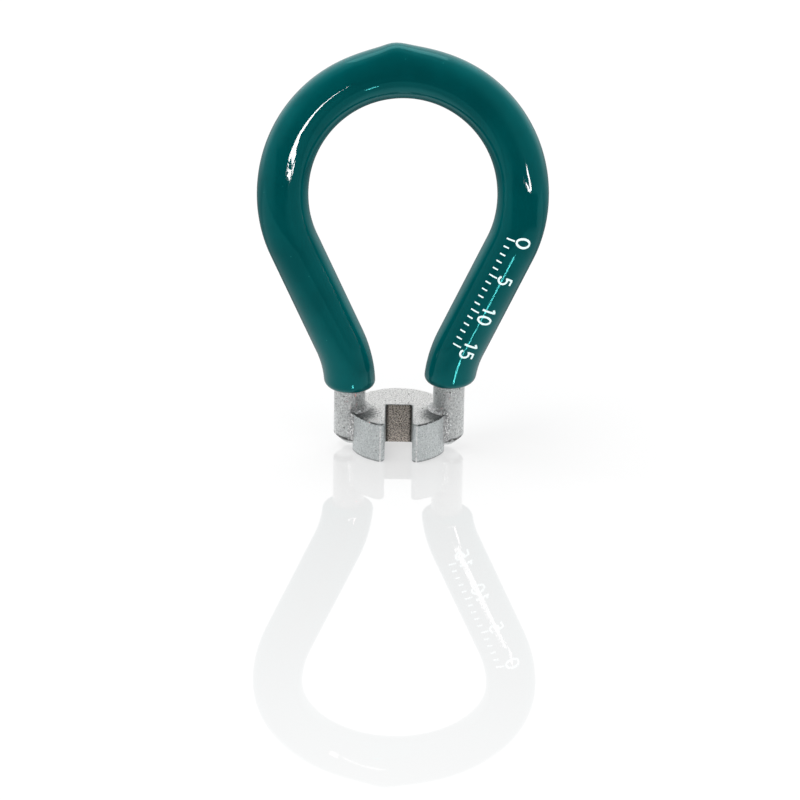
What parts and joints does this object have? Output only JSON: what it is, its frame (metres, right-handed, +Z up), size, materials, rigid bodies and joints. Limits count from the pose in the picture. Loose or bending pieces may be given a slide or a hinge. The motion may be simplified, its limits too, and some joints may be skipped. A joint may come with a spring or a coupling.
{
  "type": "spoke wrench",
  "caption": "Bicycle spoke wrench: a slotted round steel head brazed between the ends of a bent wire loop with a dipped vinyl grip, for turning spoke nipples.",
  "frame": {"origin": "on the head's axis in the plane of its lower face, midway between the two wire ends, inside the nipple slot", "axes": "+Z up along the head's axis towards the loop, -Y out of the slot's mouth, +X across the two legs"},
  "size_m": [0.035, 0.0147, 0.0496],
  "materials": {
    "head_steel": "satin",
    "wire_steel": "satin",
    "braze_metal": "satin",
    "grip_vinyl": "gloss",
    "print_ink": "satin"
  },
  "bodies": {
    "root": {"wrench_head": "head_steel", "handle_wire": "wire_steel", "left_braze": "braze_metal", "right_braze": "braze_metal", "vinyl_grip": "grip_vinyl"}
  },
  "joints": []
}
